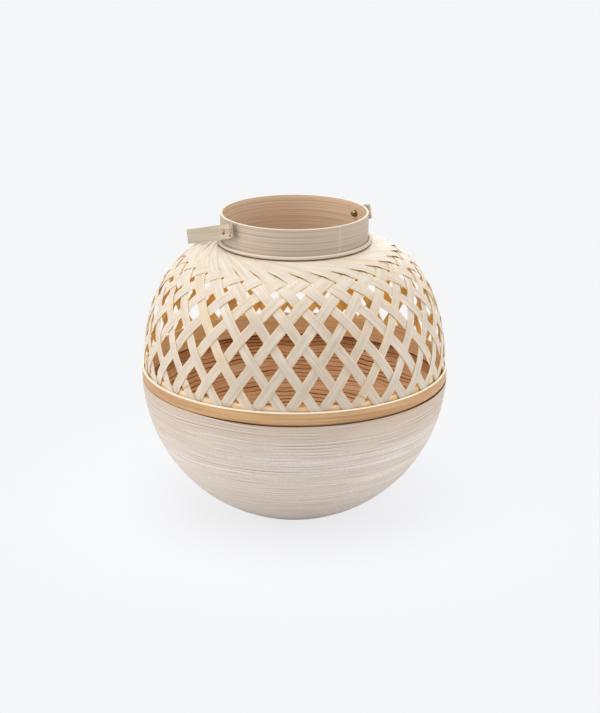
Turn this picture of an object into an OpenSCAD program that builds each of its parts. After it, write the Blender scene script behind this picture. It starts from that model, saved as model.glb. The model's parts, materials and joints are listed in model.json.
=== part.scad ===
/* [Bowl] */
// Outer radius of the spherical bowl
bowl_r = 150; // [130:1:170]
// Radius of the flat foot
foot_r = 60.6; // [50:0.1:75]
// How far the bowl's rim lies below the sphere's centre
rim_drop = 3.9; // [0:0.1:8]
// Wall of the coiled bowl
bowl_wall = 3.4; // [2.5:0.1:5]
// Thickness of the bowl's floor
floor_t = 4.5; // [3:0.1:8]

/* [Ring and hoop] */
// Height of the outer ring
ring_h = 11.7; // [8:0.1:18]
// Thickness of the outer ring
ring_t = 2; // [1.5:0.1:3]
// Open seam between the bowl's rim and the outer ring
seam_gap = 0.3; // [0.1:0.1:1]
// Thickness of the inner hoop
hoop_t = 2; // [1.5:0.1:3]
// How far the inner hoop reaches down into the bowl
hoop_drop = 8.7; // [5:0.1:12]
// How far the inner hoop stands above the outer ring
hoop_rise = 4.3; // [2:0.1:8]

/* [Weave] */
// Number of bamboo strips
strip_count = 30; // [28:1:31]
// Width of a strip
strip_w = 9.6; // [8:0.1:10.5]
// Thickness of a strip
strip_t = 0.4; // [0.3:0.05:0.5]
// Rise of the dome's mid surface above the outer ring
dome_h = 124.2; // [110:0.1:140]
// Turn of the whole weave about the upright axis
weave_turn = 2.8; // [0:0.1:12]

/* [Neck] */
// Outer radius of the neck collar
collar_r = 71.4; // [60:0.1:78]
// Thickness of the collar's bamboo band
collar_t = 2; // [1.5:0.1:3]
// Height of the collar's top edge above the weave
collar_rise = 29.9; // [25:0.1:40]
// How far the collar reaches below the weave
collar_drop = 7.5; // [6:0.1:12]
// Radial width of the bead round the collar's base
bead_w = 3; // [2:0.1:4]
// Height of that bead
bead_h = 3.4; // [2.5:0.1:5]
// Radial width of the retaining ring under the weave
keeper_w = 3.4; // [2.5:0.1:5]
// Height of that retaining ring
keeper_h = 3.2; // [2:0.1:4]

/* [Handle] */
// Direction of the pivot axis in plan, from the X axis
pivot_turn = 30; // [20:1:40]
// Distance of the pivots below the collar's top edge
pivot_drop = 10.5; // [9.5:0.1:13]
// Width of the handle strip
bail_w = 14.2; // [12:0.1:18]
// Thickness of the handle strip
bail_t = 1.6; // [1.2:0.1:2.4]
// Straight length of each leg above its pivot
leg_l = 64; // [50:1:80]
// Length of each leg past its pivot
tail_l = 16; // [10:0.1:16.5]
// Radius of the corners at the leg ends
tail_corner_r = 2; // [0.5:0.1:4]
// Clearance between the resting handle and the weave
rest_gap = 0.3; // [0.2:0.05:1]
// Thickness of the doubler at each leg end
tab_t = 1; // [0.6:0.1:2]
// Length of that doubler along the leg
tab_l = 24; // [19:0.5:30]

/* [Pivot hardware] */
// Radius of the pivot screws
screw_r = 1.5; // [1.2:0.1:2]
// Radius of the screw heads
head_r = 2.9; // [2.4:0.1:4]
// Height of the screw heads
head_h = 1.5; // [1:0.1:2.5]
// Running clearance between screw and handle, on the radius
run_gap = 0.05; // [0.02:0.01:0.1]
// Side play of each leg on its screw
side_play = 0.2; // [0.1:0.05:0.4]
// Outer radius of the spacer washers
washer_r = 4; // [3.5:0.1:5]
// Width across the cap nuts' flats
nut_flats = 5.6; // [5:0.1:7]
// Height of the cap nuts
nut_h = 5.2; // [4:0.1:7]
// Radius of the brads' shanks
brad_r = 0.5; // [0.4:0.1:0.8]

/* [Hidden] */
$fn = 96;
function unit(v) = v / norm(v);
// Gaps between glued pieces: curved faces, and faces that seat on the weave
glue_gap = 0.1;
seat_gap = 0.3;

// Heights up the lantern
bowl_centre_z = sqrt(pow(bowl_r, 2) - pow(foot_r, 2));
bowl_h = bowl_centre_z - rim_drop;
ring_z = bowl_h + seam_gap;
ring_top_z = ring_z + ring_h;
hoop_z = bowl_h - hoop_drop;
hoop_top_z = ring_top_z + hoop_rise;

// Radii at the widest place, from the outside in; the strips' ends lie in two layers
ring_r = bowl_r;
ring_in_r = ring_r - ring_t;
layer_gap = 0.45;
outer_layer_r = ring_in_r - seat_gap - strip_t / 2;
inner_layer_r = outer_layer_r - strip_t - layer_gap;
hoop_r = inner_layer_r - strip_t / 2 - seat_gap;

// Dome profile: r = dome_r (1 - t^2)^(1 / fullness), with t the share of dome_h
fullness = 4;
dome_r = ring_in_r - seat_gap;
neck_r = collar_r + seat_gap + strip_w / 2;
function dome_t(r) = sqrt(1 - pow(r / dome_r, fullness));
function dome_z(r) = ring_top_z + dome_h * dome_t(r);

// Neck pieces, seated on and under the strips that lie stacked by the collar
neck_stack = strip_t / 2 + 0.6;
bead_z = dome_z(collar_r) + neck_stack + seat_gap;
keeper_top_z = dome_z(collar_r + keeper_w) - neck_stack - seat_gap;
collar_z = dome_z(collar_r) - collar_drop;
collar_top_z = dome_z(collar_r) + collar_rise;
bead_edge_r = bead_w * 0.45;

// Handle: its own frame has the pivot axis along X and the legs along +Y
pivot_z = collar_top_z - pivot_drop;
leg_in = collar_r + glue_gap + bead_w + seat_gap;
leg_out = leg_in + bail_t;
washer_in = collar_r + glue_gap;
washer_t = leg_in - side_play - washer_in;
bore_r = screw_r + run_gap;
head_in = leg_out + tab_t + side_play;
nut_out = collar_r - collar_t - glue_gap;
nut_hex_h = nut_h / 2;
shank_in = nut_out - nut_hex_h;
brad_inset = 3;
brad_point = 0.2;
brad_head_r = brad_r + 0.4;
brad_head_h = 0.3;
// How far a cutter stands past what it cuts
cut = 1;

// A strip touches the neck circle and runs down both ways, bending edgewise a little
// more than the shortest path: its line's distance from the axis grows by edge_bend
edge_bend = 0.08;
function lean(r) = neck_r + edge_bend * (r - neck_r);
path_steps = 200;
neck_angle = acos(pow(neck_r / dome_r, fullness / 2));
function path_angle(i) = neck_angle * (1 - pow(i / path_steps, 2));
function profile_r(a) = dome_r * pow(cos(a), 2 / fullness);
function profile_z(a) = ring_top_z + dome_h * sin(a);
function path_turn(i) =
    let (a = path_angle(i), b = path_angle(i + 1), r = profile_r(path_angle(i + 0.5)))
    let (run = norm([profile_r(b) - profile_r(a), profile_z(b) - profile_z(a)]))
    run * lean(r) / (r * sqrt(r * r - pow(lean(r), 2))) * 180 / PI;
turns = [for (i = 0, s = 0; i <= path_steps; s = s + path_turn(i), i = i + 1) s];
r_at_turn = [for (i = [0 : path_steps]) [turns[i], profile_r(path_angle(i))]];
z_at_turn = [for (i = [0 : path_steps]) [turns[i], profile_z(path_angle(i))]];
rim_turn = turns[path_steps];

// Below the dome's foot the strip runs straight on down behind the ring
rim_steep = sqrt(pow(dome_r, 2) - pow(lean(dome_r), 2)) / lean(dome_r);
drop_per_turn = dome_r * PI / 180 * rim_steep;
end_z = ring_z + 0.6;
end_turn = rim_turn + (ring_top_z - end_z) / drop_per_turn;
function strip_r(d) = lookup(min(abs(d), rim_turn), r_at_turn);
function strip_z(d) =
    lookup(min(abs(d), rim_turn), z_at_turn) - max(0, abs(d) - rim_turn) * drop_per_turn;
function strip_point(d) = [strip_r(d) * sin(d), -strip_r(d) * cos(d), strip_z(d)];

// Two strips m places apart cross at m times this turn
cross_turn = 180 / strip_count;
last_crossing = ceil(rim_turn / cross_turn);
// Near the neck the strips lie on one another like an iris, up to the first crossing
// at which neighbours are clear of each other
function spacing(r) = sqrt(r * r - pow(lean(r), 2)) * 2 * cross_turn * PI / 180;
crowded = [for (i = [0 : path_steps]) if (spacing(r_at_turn[i][1]) < strip_w) turns[i]];
clear_turn = 3;
first_crossing = ceil((max(crowded) + clear_turn) / cross_turn);
stack_gap = 0.24;
stack_rise = (strip_t + stack_gap) / (2 * cross_turn);
settle_turn = 2.5;
stack_turn = first_crossing * cross_turn - settle_turn;
// Further out they go over and under in turn, by this much off the mid surface
weave_lift = strip_t / 2 + 0.2;
// A strip stays level for this turn to each side of a crossing
flat_turn = 2;
function over(m) = (m % 2 == 1) ? weave_lift : -weave_lift;
flats = concat(
    [for (turn = [0, flat_turn]) [first_crossing * cross_turn + turn, over(first_crossing)]],
    [for (m = [first_crossing + 1 : last_crossing - 1], turn = [-flat_turn, 0, flat_turn])
        [m * cross_turn + turn, over(m)]]);
// Behind the ring the ends that run one way lie outside those that run the other
layer_turn = last_crossing * cross_turn - flat_turn;
function end_lift(side) =
    (side * over(last_crossing) > 0 ? outer_layer_r : inner_layer_r) - dome_r;
function lifts(side) = concat(
    [[0, 0], [stack_turn, side * stack_turn * stack_rise]],
    [for (f = flats) [f[0], side * f[1]]],
    [[layer_turn, end_lift(side)], [end_turn, end_lift(side)]]);
right_lifts = lifts(1);
left_lifts = lifts(-1);
function lift(d) = lookup(abs(d), d > 0 ? right_lifts : left_lifts);

// The handle droops until its lower inner edge meets the weave's upper face
turn_at_r = [for (i = [0 : path_steps]) [profile_r(path_angle(i)), turns[i]]];
function weave_face(r) =
    max(weave_lift, lookup(lookup(r, turn_at_r), right_lifts)) + strip_t / 2;
function normal_rz(r) =
    unit([fullness * pow(r / dome_r, fullness - 1) / dome_r, 2 * dome_t(r) / dome_h]);
function edge_x(s) = s < leg_l ? leg_in : sqrt(max(0, pow(leg_in, 2) - pow(s - leg_l, 2)));
function edge_gap(s, droop) =
    let (y = s * cos(droop) - bail_w / 2 * sin(droop))
    let (z = pivot_z - s * sin(droop) - bail_w / 2 * cos(droop), r = norm([edge_x(s), y]))
    (z - dome_z(r)) * normal_rz(r)[1] - weave_face(r);
function handle_gap(droop) = min([for (s = [0 : leg_l + leg_in]) edge_gap(s, droop)]);
function settle(low, high, tries) =
    tries == 0 ? low
    : let (mid = (low + high) / 2)
        handle_gap(mid) > rest_gap ? settle(mid, high, tries - 1) : settle(low, mid, tries - 1);
rest_droop = settle(0, 40, 16);

// Turns at which the strip has a cross section
half_turns = concat(
    [for (i = [1 : 6]) i * stack_turn / 6],
    [for (f = flats) f[0]],
    [layer_turn, (layer_turn + end_turn) / 2, end_turn]);
section_turns = concat([for (i = [len(half_turns) - 1 : -1 : 0]) -half_turns[i]], [0], half_turns);

// Outward normal of the dome at a turn
function dome_normal(d) =
    let (n = normal_rz(min(strip_r(d), dome_r)))
    [n[0] * sin(d), -n[0] * cos(d), n[1]];
// Four corners of the strip's cross section; the two ends are trimmed level
function section(d) =
    let (along = unit(strip_point(d + 0.25) - strip_point(d - 0.25)), n = dome_normal(d))
    let (side = unit(cross(n, along)), level = [cos(d), sin(d), 0])
    let (trim = level * sign(side * level) / abs(along[2]))
    let (across = (abs(d) == end_turn ? trim : side) * strip_w / 2)
    let (mid = strip_point(d) + n * lift(d), half = n * strip_t / 2)
    [mid - across - half, mid + across - half, mid + across + half, mid - across + half];

module sweep(sections) {
    n = len(sections);
    sides = 4;
    skin = [for (i = [0 : n - 2], j = [0 : sides - 1])
        let (a = i * sides + j, b = i * sides + (j + 1) % sides)
            each [[a, a + sides, b + sides], [a, b + sides, b]]];
    ends = [[0, 1, 2, 3], [for (j = [sides - 1 : -1 : 0]) (n - 1) * sides + j]];
    polyhedron([for (s = sections) each s], concat(skin, ends));
}

module weave_strip(i) {
    color("#e6d9c3")
        rotate([0, 0, weave_turn + i * 360 / strip_count])
            sweep([for (d = section_turns) section(d)]);
}

// A round tube standing on the plane z
module band(outer_r, inner_r, z, h) {
    translate([0, 0, z])
        difference() {
            cylinder(r = outer_r, h = h);
            translate([0, 0, -cut])
                cylinder(r = inner_r, h = h + 2 * cut);
        }
}

module bowl_shell() {
    color("#dcd2c6")
        rotate_extrude()
            difference() {
                intersection() {
                    translate([0, bowl_centre_z])
                        circle(r = bowl_r);
                    square([bowl_r, bowl_h]);
                }
                intersection() {
                    translate([0, bowl_centre_z])
                        circle(r = bowl_r - bowl_wall);
                    translate([0, floor_t])
                        square([bowl_r, bowl_h]);
                }
                translate([0, hoop_z - glue_gap])
                    square([hoop_r + glue_gap, bowl_h]);
            }
}

module outer_ring() {
    color("#c9a077")
        band(ring_r, ring_in_r, ring_z, ring_h);
}

module inner_hoop() {
    color("#be8c5a")
        band(hoop_r, hoop_r - hoop_t, hoop_z, hoop_top_z - hoop_z);
}

// Places a piece on both pivots, turned about the upright axis
module at_pivot(side) {
    rotate([0, 0, pivot_turn + (side > 0 ? 0 : 180)])
        translate([0, 0, pivot_z])
            children();
}

// A solid round bar along +X, from x0 to x1
module bar(x0, x1, r) {
    translate([x0, 0, 0])
        rotate([0, 90, 0])
            cylinder(r = r, h = x1 - x0);
}

module neck_collar() {
    color("#b8a088")
        difference() {
            band(collar_r, collar_r - collar_t, collar_z, collar_top_z - collar_z);
            for (side = [-1, 1])
                at_pivot(side)
                    bar(collar_r - collar_t - cut, collar_r + cut, bore_r);
        }
}

module neck_bead() {
    color("#e5dccd")
        rotate_extrude()
            translate([collar_r + glue_gap, bead_z])
                union() {
                    square([bead_w - bead_edge_r, bead_h]);
                    translate([0, bead_edge_r])
                        square([bead_w, bead_h - 2 * bead_edge_r]);
                    for (y = [bead_edge_r, bead_h - bead_edge_r])
                        translate([bead_w - bead_edge_r, y])
                            circle(r = bead_edge_r);
                }
}

module neck_keeper() {
    color("#c9a077")
        band(collar_r + glue_gap + keeper_w, collar_r + glue_gap, keeper_top_z - keeper_h, keeper_h);
}

// The handle lies back on the weave, its crown dropped below the pivots
module handle_frame() {
    rotate([0, 0, pivot_turn])
        translate([0, 0, pivot_z])
            rotate([-rest_droop, 0, 0])
                children();
}

// Puts a piece of the far leg on the near leg for side -1
module on_leg(side) {
    mirror([side > 0 ? 0 : 1, 0, 0])
        children();
}

// A leg's outline: square at the top, rounded at the tail
module leg_outline(length) {
    hull() {
        translate([-bail_w / 2, 0])
            square([bail_w, length]);
        for (x = [-1, 1])
            translate([x * (bail_w / 2 - tail_corner_r), tail_corner_r - tail_l])
                circle(r = tail_corner_r, $fn = 24);
    }
}

// A flat plate from x0 outwards, bored for the pivot screw and the brad
module leg_plate(x0, thickness, length) {
    difference() {
        translate([x0, 0, 0])
            rotate([90, 0, 90])
                linear_extrude(thickness)
                    rotate([0, 0, -90])
                        leg_outline(length);
        bar(x0 - cut, x0 + thickness + cut, bore_r);
        at_brad()
            bar(x0 - cut, x0 + thickness + cut, brad_r + run_gap);
    }
}

// The brad sits at the tail's lower corner
module at_brad() {
    translate([0, brad_inset - tail_l, brad_inset - bail_w / 2])
        children();
}

module handle_bail() {
    color("#cbbca4")
        handle_frame()
            union() {
                for (side = [-1, 1])
                    on_leg(side)
                        leg_plate(leg_in, bail_t, leg_l);
                translate([0, leg_l, 0])
                    intersection() {
                        band(leg_out, leg_in, -bail_w / 2, bail_w);
                        translate([-leg_out, 0, -bail_w / 2])
                            cube([2 * leg_out, leg_out, bail_w]);
                    }
            }
}

module handle_tab(side) {
    color("#d6c8b0")
        handle_frame()
            on_leg(side)
                leg_plate(leg_out, tab_t, tab_l - tail_l);
}

module handle_brads() {
    color("#5a5048")
        handle_frame()
            for (side = [-1, 1])
                on_leg(side)
                    at_brad()
                        union() {
                            bar(leg_in + brad_point, leg_out + tab_t + brad_point, brad_r);
                            bar(leg_out + tab_t, leg_out + tab_t + brad_head_h, brad_head_r);
                        }
}

// A round solid along +X from x0, turned from an outline of [distance, radius]
module turned(x0) {
    translate([x0, 0, 0])
        rotate([0, 90, 0])
            rotate_extrude()
                children();
}

// Half of a domed cap's section: w wide, h high, standing at height y
module dome_section(w, h, y) {
    cap_r = (w * w + h * h) / (2 * h);
    translate([0, y])
        intersection() {
            translate([0, h - cap_r])
                circle(r = cap_r);
            square([w, h]);
        }
}

module pivot_screw(side) {
    color("#b0a590")
        at_pivot(side)
            turned(shank_in)
                union() {
                    square([screw_r, head_in - shank_in]);
                    dome_section(head_r, head_h, head_in - shank_in);
                }
}

module pivot_washer(side) {
    color("#b0a590")
        at_pivot(side)
            difference() {
                bar(washer_in, washer_in + washer_t, washer_r);
                bar(washer_in - cut, leg_in, bore_r);
            }
}

// A cap nut inside the collar: a hexagon with a dome towards the lantern's middle
module pivot_nut(side) {
    color("#a08c5a")
        at_pivot(side)
            difference() {
                union() {
                    translate([nut_out - nut_hex_h, 0, 0])
                        rotate([0, 90, 0])
                            cylinder(r = nut_flats / sqrt(3), h = nut_hex_h, $fn = 6);
                    translate([nut_out - nut_hex_h, 0, 0])
                        rotate([0, -90, 0])
                            rotate_extrude()
                                dome_section(nut_flats / 2, nut_h - nut_hex_h, 0);
                }
                bar(shank_in, nut_out + cut, bore_r);
            }
}

STRIPS = [for (i = [1 : strip_count]) str("weave_strip_", i < 10 ? "0" : "", i)];

bowl_shell();
outer_ring();
inner_hoop();
neck_collar();
neck_bead();
neck_keeper();
handle_bail();
handle_tab(-1);  // handle_tab_near
handle_tab(1);  // handle_tab_far
handle_brads();
pivot_screw(-1);  // pivot_screw_near
pivot_screw(1);  // pivot_screw_far
pivot_washer(-1);  // pivot_washer_near
pivot_washer(1);  // pivot_washer_far
pivot_nut(-1);  // pivot_nut_near
pivot_nut(1);  // pivot_nut_far
for (i = [1 : strip_count])
    weave_strip(i);
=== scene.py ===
# %% [markdown]
# # A woven bamboo lantern on its CAD frame
# The lantern is a coiled bowl with a woven dome on it, a bent collar round the neck and a
# flat handle that swings on two screws. The CAD model already says how big every piece is and
# what turns on what. Here each piece gets the surface a maker would see on the bench: split
# strips with soft corners, coils that step, bands that lap, and the bamboo's own grain.
# The frame is loaded first, because every later place and size is read from it.

# %% Load the frame
import json
import math
import random

import bmesh
import bpy
import numpy as np
from mathutils import Matrix, Vector, noise


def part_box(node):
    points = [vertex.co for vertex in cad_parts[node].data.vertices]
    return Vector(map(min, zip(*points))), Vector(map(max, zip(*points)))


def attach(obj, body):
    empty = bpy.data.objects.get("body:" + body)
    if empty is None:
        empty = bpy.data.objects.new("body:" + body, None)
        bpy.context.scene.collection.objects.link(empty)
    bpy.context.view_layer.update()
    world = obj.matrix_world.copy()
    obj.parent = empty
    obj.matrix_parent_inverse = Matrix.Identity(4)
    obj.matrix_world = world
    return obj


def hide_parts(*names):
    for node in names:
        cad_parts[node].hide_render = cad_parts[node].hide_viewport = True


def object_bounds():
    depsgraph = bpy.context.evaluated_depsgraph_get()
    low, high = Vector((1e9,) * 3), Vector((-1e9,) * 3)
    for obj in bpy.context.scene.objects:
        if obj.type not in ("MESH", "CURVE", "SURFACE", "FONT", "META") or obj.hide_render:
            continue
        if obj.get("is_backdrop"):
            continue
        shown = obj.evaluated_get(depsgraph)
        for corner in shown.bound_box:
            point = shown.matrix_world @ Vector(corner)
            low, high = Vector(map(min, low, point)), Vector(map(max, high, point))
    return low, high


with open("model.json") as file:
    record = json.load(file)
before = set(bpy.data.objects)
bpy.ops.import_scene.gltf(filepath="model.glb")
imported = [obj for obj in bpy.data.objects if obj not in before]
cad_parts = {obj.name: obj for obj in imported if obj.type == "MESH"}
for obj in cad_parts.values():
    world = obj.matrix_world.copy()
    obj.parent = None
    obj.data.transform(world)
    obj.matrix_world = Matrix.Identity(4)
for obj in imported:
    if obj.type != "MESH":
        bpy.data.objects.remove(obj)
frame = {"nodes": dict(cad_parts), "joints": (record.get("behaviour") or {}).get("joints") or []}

cad_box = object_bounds()
mm = 0.001

# %% [markdown]
# ## Measures
# Most sizes are boxes of the CAD nodes. A few driving dimensions can't be seen in a box, such
# as the wall of the bowl, so they are written here once, with the same values as in the CAD.

# %% Read the measures
bowl_low, bowl_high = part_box("bowl_shell")
ring_low, ring_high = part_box("outer_ring")
hoop_low, hoop_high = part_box("inner_hoop")
collar_low, collar_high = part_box("neck_collar")
bead_low, bead_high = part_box("neck_bead")
keeper_low, keeper_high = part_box("neck_keeper")

bowl_r = ring_high.x
foot_r = 60.6 * mm
bowl_wall = 3.4 * mm
floor_t = 4.5 * mm
band_t = 2 * mm
bead_t = 3 * mm
keeper_t = 3.4 * mm
glue_gap = 0.1 * mm
centre_z = math.sqrt(bowl_r**2 - foot_r**2)
swing = frame["joints"][0]
pivot = Vector(swing["pos_m"])
pivot_turn = math.atan2(swing["axis"][1], swing["axis"][0])
print(f"ring {2000 * ring_high.x:.0f} mm across, collar top {1000 * collar_high.z:.1f} mm up")

# %% [markdown]
# ## Camera
# A camera far away with a long lens shows the round bowl without stretching it. It looks down
# a little, so the collar opens as an ellipse. The lantern stands a touch low and left of the
# middle, and the lens shift moves the frame instead of turning the camera.

# %% Place the camera
aim = Vector((0, 0, 135.34 * mm))
look_down = math.radians(19.07)
distance = 1.70

camera_data = bpy.data.cameras.new("camera")
camera = bpy.data.objects.new("camera", camera_data)
bpy.context.scene.collection.objects.link(camera)
bpy.context.scene.camera = camera
camera.location = aim + distance * Vector((0, -math.cos(look_down), math.sin(look_down)))
camera.rotation_euler = (math.pi / 2 - look_down, 0, 0)
camera_data.lens = 86.7
camera_data.shift_x = 0.0078
camera_data.shift_y = 0.0182
bpy.context.scene.view_settings.view_transform = "Standard"
print("camera at", [round(v, 3) for v in camera.location])

# %% [markdown]
# ## Helpers for colour and nodes
# Colours are picked as sRGB hex codes, but shaders count light in linear values. One function
# turns the first into the second. Another adds a node with its settings and its links in one
# call, which keeps each material short enough to read.

# %% Colour and node helpers
def paint(code):
    """The linear colour that an sRGB hex code such as "#c9a077" stands for."""
    shares = [int(code[i : i + 2], 16) / 255 for i in (1, 3, 5)]
    linear = [s / 12.92 if s <= 0.04045 else ((s + 0.055) / 1.055) ** 2.4 for s in shares]
    return (*linear, 1.0)


def add(tree, kind, inputs=None, **settings):
    """Adds a node. inputs maps its sockets to values, or to other nodes' outputs to link."""
    made = tree.nodes.new(kind)
    for name, value in settings.items():
        setattr(made, name, value)
    for socket, value in (inputs or {}).items():
        if isinstance(value, bpy.types.NodeSocket):
            tree.links.new(value, made.inputs[socket])
        else:
            made.inputs[socket].default_value = value
    return made


print("linear value of #c9a077:", [round(v, 3) for v in paint("#c9a077")[:3]])

# %% [markdown]
# ## Studio light
# Pale bamboo is lit with large soft boxes from both sides, from above and from behind, so the
# grain shows, no side falls into black and the thin strips glow a little where light comes
# through. The world adds an even base light. What the camera, gloss and glass see behind the
# lantern is a separate colour, so the backdrop can be almost white while the light on the
# bamboo stays level.

# %% World
backdrop = paint("#f5f6f8")
base_light = 0.48


def seen_directly(tree):
    """1 where a ray comes from the camera or from a glossy or clear surface, 0 elsewhere."""
    ray = add(tree, "ShaderNodeLightPath").outputs
    shown = ray["Is Camera Ray"]
    for kind in ("Is Glossy Ray", "Is Transmission Ray"):
        either = add(tree, "ShaderNodeMath", {0: shown, 1: ray[kind]}, operation="MAXIMUM")
        shown = either.outputs[0]
    return shown


world = bpy.data.worlds.new("studio")
bpy.context.scene.world = world
world.use_nodes = True
tree = world.node_tree
tree.nodes.clear()
lit = add(tree, "ShaderNodeBackground", {"Color": (1, 1, 1, 1), "Strength": base_light})
shown = add(tree, "ShaderNodeBackground", {"Color": backdrop, "Strength": 1.0})
mixed = add(
    tree,
    "ShaderNodeMixShader",
    {0: seen_directly(tree), 1: lit.outputs[0], 2: shown.outputs[0]},
)
add(tree, "ShaderNodeOutputWorld", {"Surface": mixed.outputs[0]})
print("base light", base_light)

# %% [markdown]
# Each soft box is an area lamp turned to the middle of the lantern. The one above is the
# strongest, because it gives the bands their bright top edges.

# %% Soft boxes: place, width and watts
soft_boxes = {
    "left": ((-1.7, -0.55, 0.75), 1.3, 12.3),
    "right": ((1.7, -0.35, 0.60), 1.2, 9.0),
    "top": ((-0.20, -0.20, 1.75), 1.3, 20.0),
    "back": ((0.25, 1.70, 0.80), 1.3, 11.0),
}
for name, (place, size, power) in soft_boxes.items():
    lamp = bpy.data.lights.new(f"soft_box_{name}", "AREA")
    lamp.size = size
    lamp.energy = power
    holder = bpy.data.objects.new(f"soft_box_{name}", lamp)
    bpy.context.scene.collection.objects.link(holder)
    holder.location = place
    holder.rotation_euler = (aim - Vector(place)).to_track_quat("-Z", "Y").to_euler()
    print(f"soft box {name}: {power:g} W, {size:g} m wide")

# %% [markdown]
# ## Floor
# The floor is a wide pale disc. Under the lantern it takes a faint soft shadow. Further out it
# fades into the backdrop's colour, so no horizon line shows.

# %% Make the floor
floor_r = 12
floor_gap = 0.2 * mm
shadow_r = 0.06
fade_r = 0.42
least_backdrop = 0.83
floor_mesh = bmesh.new()
bmesh.ops.create_circle(floor_mesh, cap_ends=True, segments=96, radius=floor_r)
bmesh.ops.translate(floor_mesh, verts=floor_mesh.verts, vec=(0, 0, -floor_gap))
floor_data = bpy.data.meshes.new("floor")
floor_mesh.to_mesh(floor_data)
floor_mesh.free()
studio_floor = bpy.data.objects.new("floor", floor_data)
bpy.context.scene.collection.objects.link(studio_floor)
studio_floor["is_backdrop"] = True

floor_paint = bpy.data.materials.new("matt_paper_floor")
floor_paint.use_nodes = True
tree = floor_paint.node_tree
tree.nodes.clear()
place = add(tree, "ShaderNodeTexCoord").outputs["Object"]
away = add(tree, "ShaderNodeVectorMath", {0: place}, operation="LENGTH").outputs["Value"]
fade = add(
    tree,
    "ShaderNodeMapRange",
    {"Value": away, 1: shadow_r, 2: fade_r, 3: least_backdrop, 4: 1.0},
    interpolation_type="SMOOTHSTEP",
)
glow = add(
    tree, "ShaderNodeMath", {0: fade.outputs[0], 1: seen_directly(tree)}, operation="MULTIPLY"
)
paper = add(tree, "ShaderNodeBsdfDiffuse", {"Color": (0.9, 0.905, 0.915, 1)})
even = add(tree, "ShaderNodeEmission", {"Color": backdrop, "Strength": 1.0})
mixed = add(
    tree,
    "ShaderNodeMixShader",
    {0: glow.outputs[0], 1: paper.outputs[0], 2: even.outputs[0]},
)
add(tree, "ShaderNodeOutputMaterial", {"Surface": mixed.outputs[0]})
floor_data.materials.append(floor_paint)
print("floor radius", floor_r, "m")

# %% [markdown]
# ## Bamboo, one recipe for many finishes
# Bamboo is a bundle of long fibres, so every finish here is drawn the same way: a noise that
# is squeezed hard across the grain and stretched along it. Real fibres are about 0.4 mm wide.
# They are drawn about twice as wide or more, so that they still show. Each layer of colour is
# then laid over the last one like a stain, as strongly as one or more noises say.

# %% Grain and tint
def grain(tree, vector, across, along, cross_axis, detail=2.0):
    """Noise whose marks are across wide over the grain and along long with it, in metres."""
    scales = [1 / along] * 3
    scales[cross_axis] = 1 / across
    marks = add(tree, "ShaderNodeVectorMath", {0: vector, 1: scales}, operation="MULTIPLY")
    inputs = {"Vector": marks.outputs[0], "Scale": 1.0, "Detail": detail}
    return add(tree, "ShaderNodeTexNoise", inputs).outputs[0]


def amount(tree, *patterns):
    """How much of a mark shows. Each pattern is (value, low, high) or (value, low, high,
    start, end): from low to high the value is taken from start to end, or from 0 to 1, and
    kept inside. Several are multiplied, so the mark shows only where all of them do."""
    total = 1.0
    for value, low, high, *ends in patterns:
        start, end = ends or (0.0, 1.0)
        inputs = {"Value": value, 1: low, 2: high, 3: start, 4: end}
        taken = add(tree, "ShaderNodeMapRange", inputs).outputs[0]
        product = add(tree, "ShaderNodeMath", {0: total, 1: taken}, operation="MULTIPLY")
        total = product.outputs[0]
    return total


def tint(tree, colour, code, *patterns):
    """The colour with an sRGB hex code laid over it, by the amount that the patterns give."""
    inputs = {0: amount(tree, *patterns), 6: colour, 7: paint(code)}
    return add(tree, "ShaderNodeMix", inputs, data_type="RGBA").outputs[2]


def new_material(name):
    """A new material without nodes, and its node tree."""
    material = bpy.data.materials.new(name)
    material.use_nodes = True
    material.node_tree.nodes.clear()
    return material, material.node_tree


print("a fibre of 0.9 mm is a noise scale of", round(1 / (0.9 * mm)), "per metre")

# %% [markdown]
# Dry bamboo has an IOR of about 1.5 and a satin skin. A little of the light goes into the wood
# and comes out again warmer, because blue light is lost first. On a strip of 0.4 mm that is
# most of the light, so the strips get soak, the share that goes in.

# %% Close a bamboo finish
wood_ior = 1.5
wood_warmth = (1.0, 0.92, 0.74)
wood_depth = 0.8 * mm


def close_bamboo(
    tree, colour, height, roughness=0.55, relief=0.3, sheen=0.35, depth=0.10, soak=0.0
):
    """The shader under every bamboo finish, with the fibres as a relief of depth mm."""
    bump = add(
        tree,
        "ShaderNodeBump",
        {"Strength": relief, "Distance": depth * mm, "Height": height},
    )
    skin = add(
        tree,
        "ShaderNodeBsdfPrincipled",
        {
            "Base Color": colour,
            "Roughness": roughness,
            "IOR": wood_ior,
            "Specular IOR Level": sheen,
            "Subsurface Weight": soak,
            "Subsurface Radius": wood_warmth,
            "Subsurface Scale": wood_depth,
            "Normal": bump.outputs[0],
        },
    )
    add(tree, "ShaderNodeOutputMaterial", {"Surface": skin.outputs[0]})


print("light goes", 1000 * wood_depth, "mm into the wood")
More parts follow.
